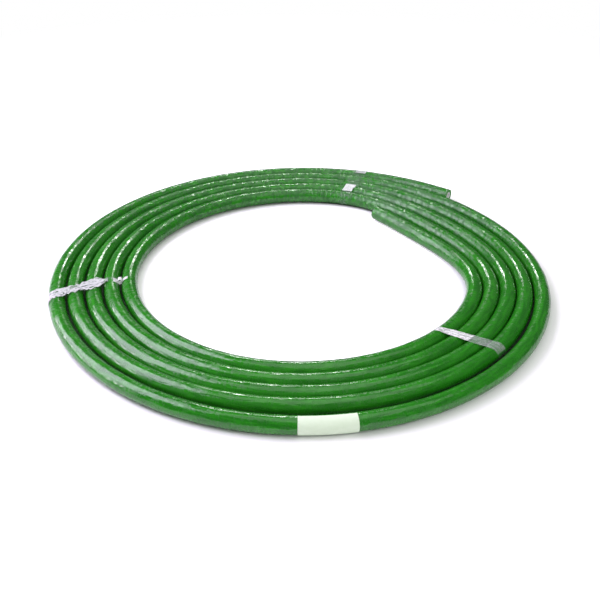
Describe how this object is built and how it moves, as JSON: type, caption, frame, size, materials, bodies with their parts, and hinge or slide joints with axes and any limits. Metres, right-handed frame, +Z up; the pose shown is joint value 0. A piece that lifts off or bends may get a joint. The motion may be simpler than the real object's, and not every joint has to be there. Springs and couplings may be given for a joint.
{
  "type": "coil of insulated multilayer pipe",
  "caption": "Flat spiral coil of multilayer pipe in a green film-covered foam sleeve, held together by clear tape ties.",
  "frame": {"origin": "on the floor, under the middle of the coil's bounding box", "axes": "+Z up; the coil lies flat with its winding axis along Z; +Y is the side with both cut ends, -Y the side with the sticker"},
  "size_m": [0.888, 0.8862, 0.0288],
  "materials": {
    "pipe": "smooth white polyethylene over a bonded aluminium layer",
    "sleeve": "green polyethylene foam under a glossy, finely wrinkled green film",
    "tape": "clear glossy adhesive film, crumpled and whitish where it bunches",
    "label": "smooth pale sticker, left blank"
  },
  "bodies": {
    "root": {"multilayer_pipe": "pipe", "insulation_sleeve": "sleeve", "tape_tie_back": "tape", "tape_tie_right": "tape", "tape_tie_left": "tape", "label": "label"}
  },
  "joints": []
}
